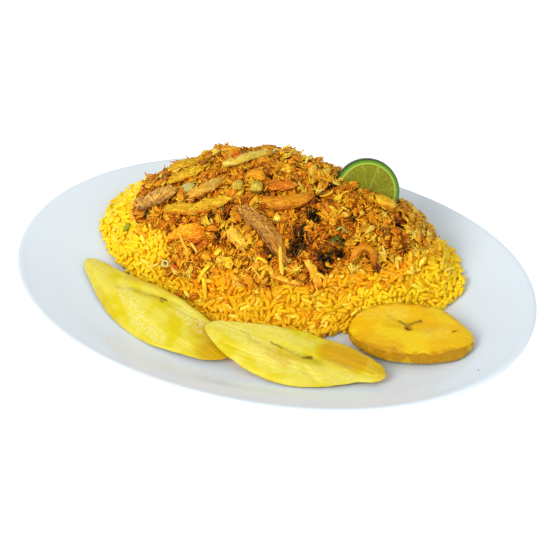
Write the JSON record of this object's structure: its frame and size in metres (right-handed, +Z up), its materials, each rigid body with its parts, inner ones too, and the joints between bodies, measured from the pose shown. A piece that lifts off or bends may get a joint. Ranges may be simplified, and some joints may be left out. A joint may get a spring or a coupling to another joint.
{
  "type": "crab rice",
  "caption": "Oval white plate of yellow rice heaped under shredded crab and pepper strips, with slices of plantain along its front and a slice of lime.",
  "frame": {"origin": "centre of the plate's foot, on the surface it stands on, under the middle of the plate's outline", "axes": "+X along the plate's long axis, with the plantain slices along the -Y side; +Z up"},
  "size_m": [0.35, 0.245, 0.0865],
  "materials": {
    "plate_glaze": "smooth white glaze",
    "rice_yellow": "soft moist grains",
    "crab_orange": "moist shredded flesh",
    "leg_mauve": "fibrous, mottled",
    "strip_yellow": "moist, fibrous",
    "strip_tan": "moist, fibrous",
    "strip_pale": "moist, fibrous",
    "strip_red": "moist, soft",
    "strip_orange": "moist, soft",
    "chunk_orange": "moist, fleshy",
    "flesh_pale": "flaky, moist",
    "plantain_yellow": "satin, boiled",
    "lime_green": "wet flesh and waxy rind"
  },
  "bodies": {
    "root": {"plate": "plate_glaze", "rice_heap": "rice_yellow", "crab_topping": "crab_orange", "crab_leg_dark": "leg_mauve", "crab_leg_front": "leg_mauve", "crab_strip_upper": "strip_yellow", "crab_strip_rear": "strip_yellow", "crab_strip_long": "strip_yellow", "crab_strip_tan": "strip_tan", "pepper_strip_pale": "strip_pale", "pepper_strip_red": "strip_red", "pepper_strip_curved": "strip_orange", "crab_claw_small": "strip_orange", "crab_chunk_top": "chunk_orange", "crab_chunk_wedge": "chunk_orange", "crab_chunk_pale": "flesh_pale", "crab_flake_front": "flesh_pale", "onion_strip_pale": "flesh_pale", "onion_oval": "flesh_pale", "pepper_cube_left": "strip_pale", "pepper_cube_right": "strip_pale", "crab_lump_lime": "strip_yellow", "plantain_left": "plantain_yellow", "plantain_middle": "plantain_yellow", "plantain_right": "plantain_yellow", "lime_slice": "lime_green"}
  },
  "joints": []
}
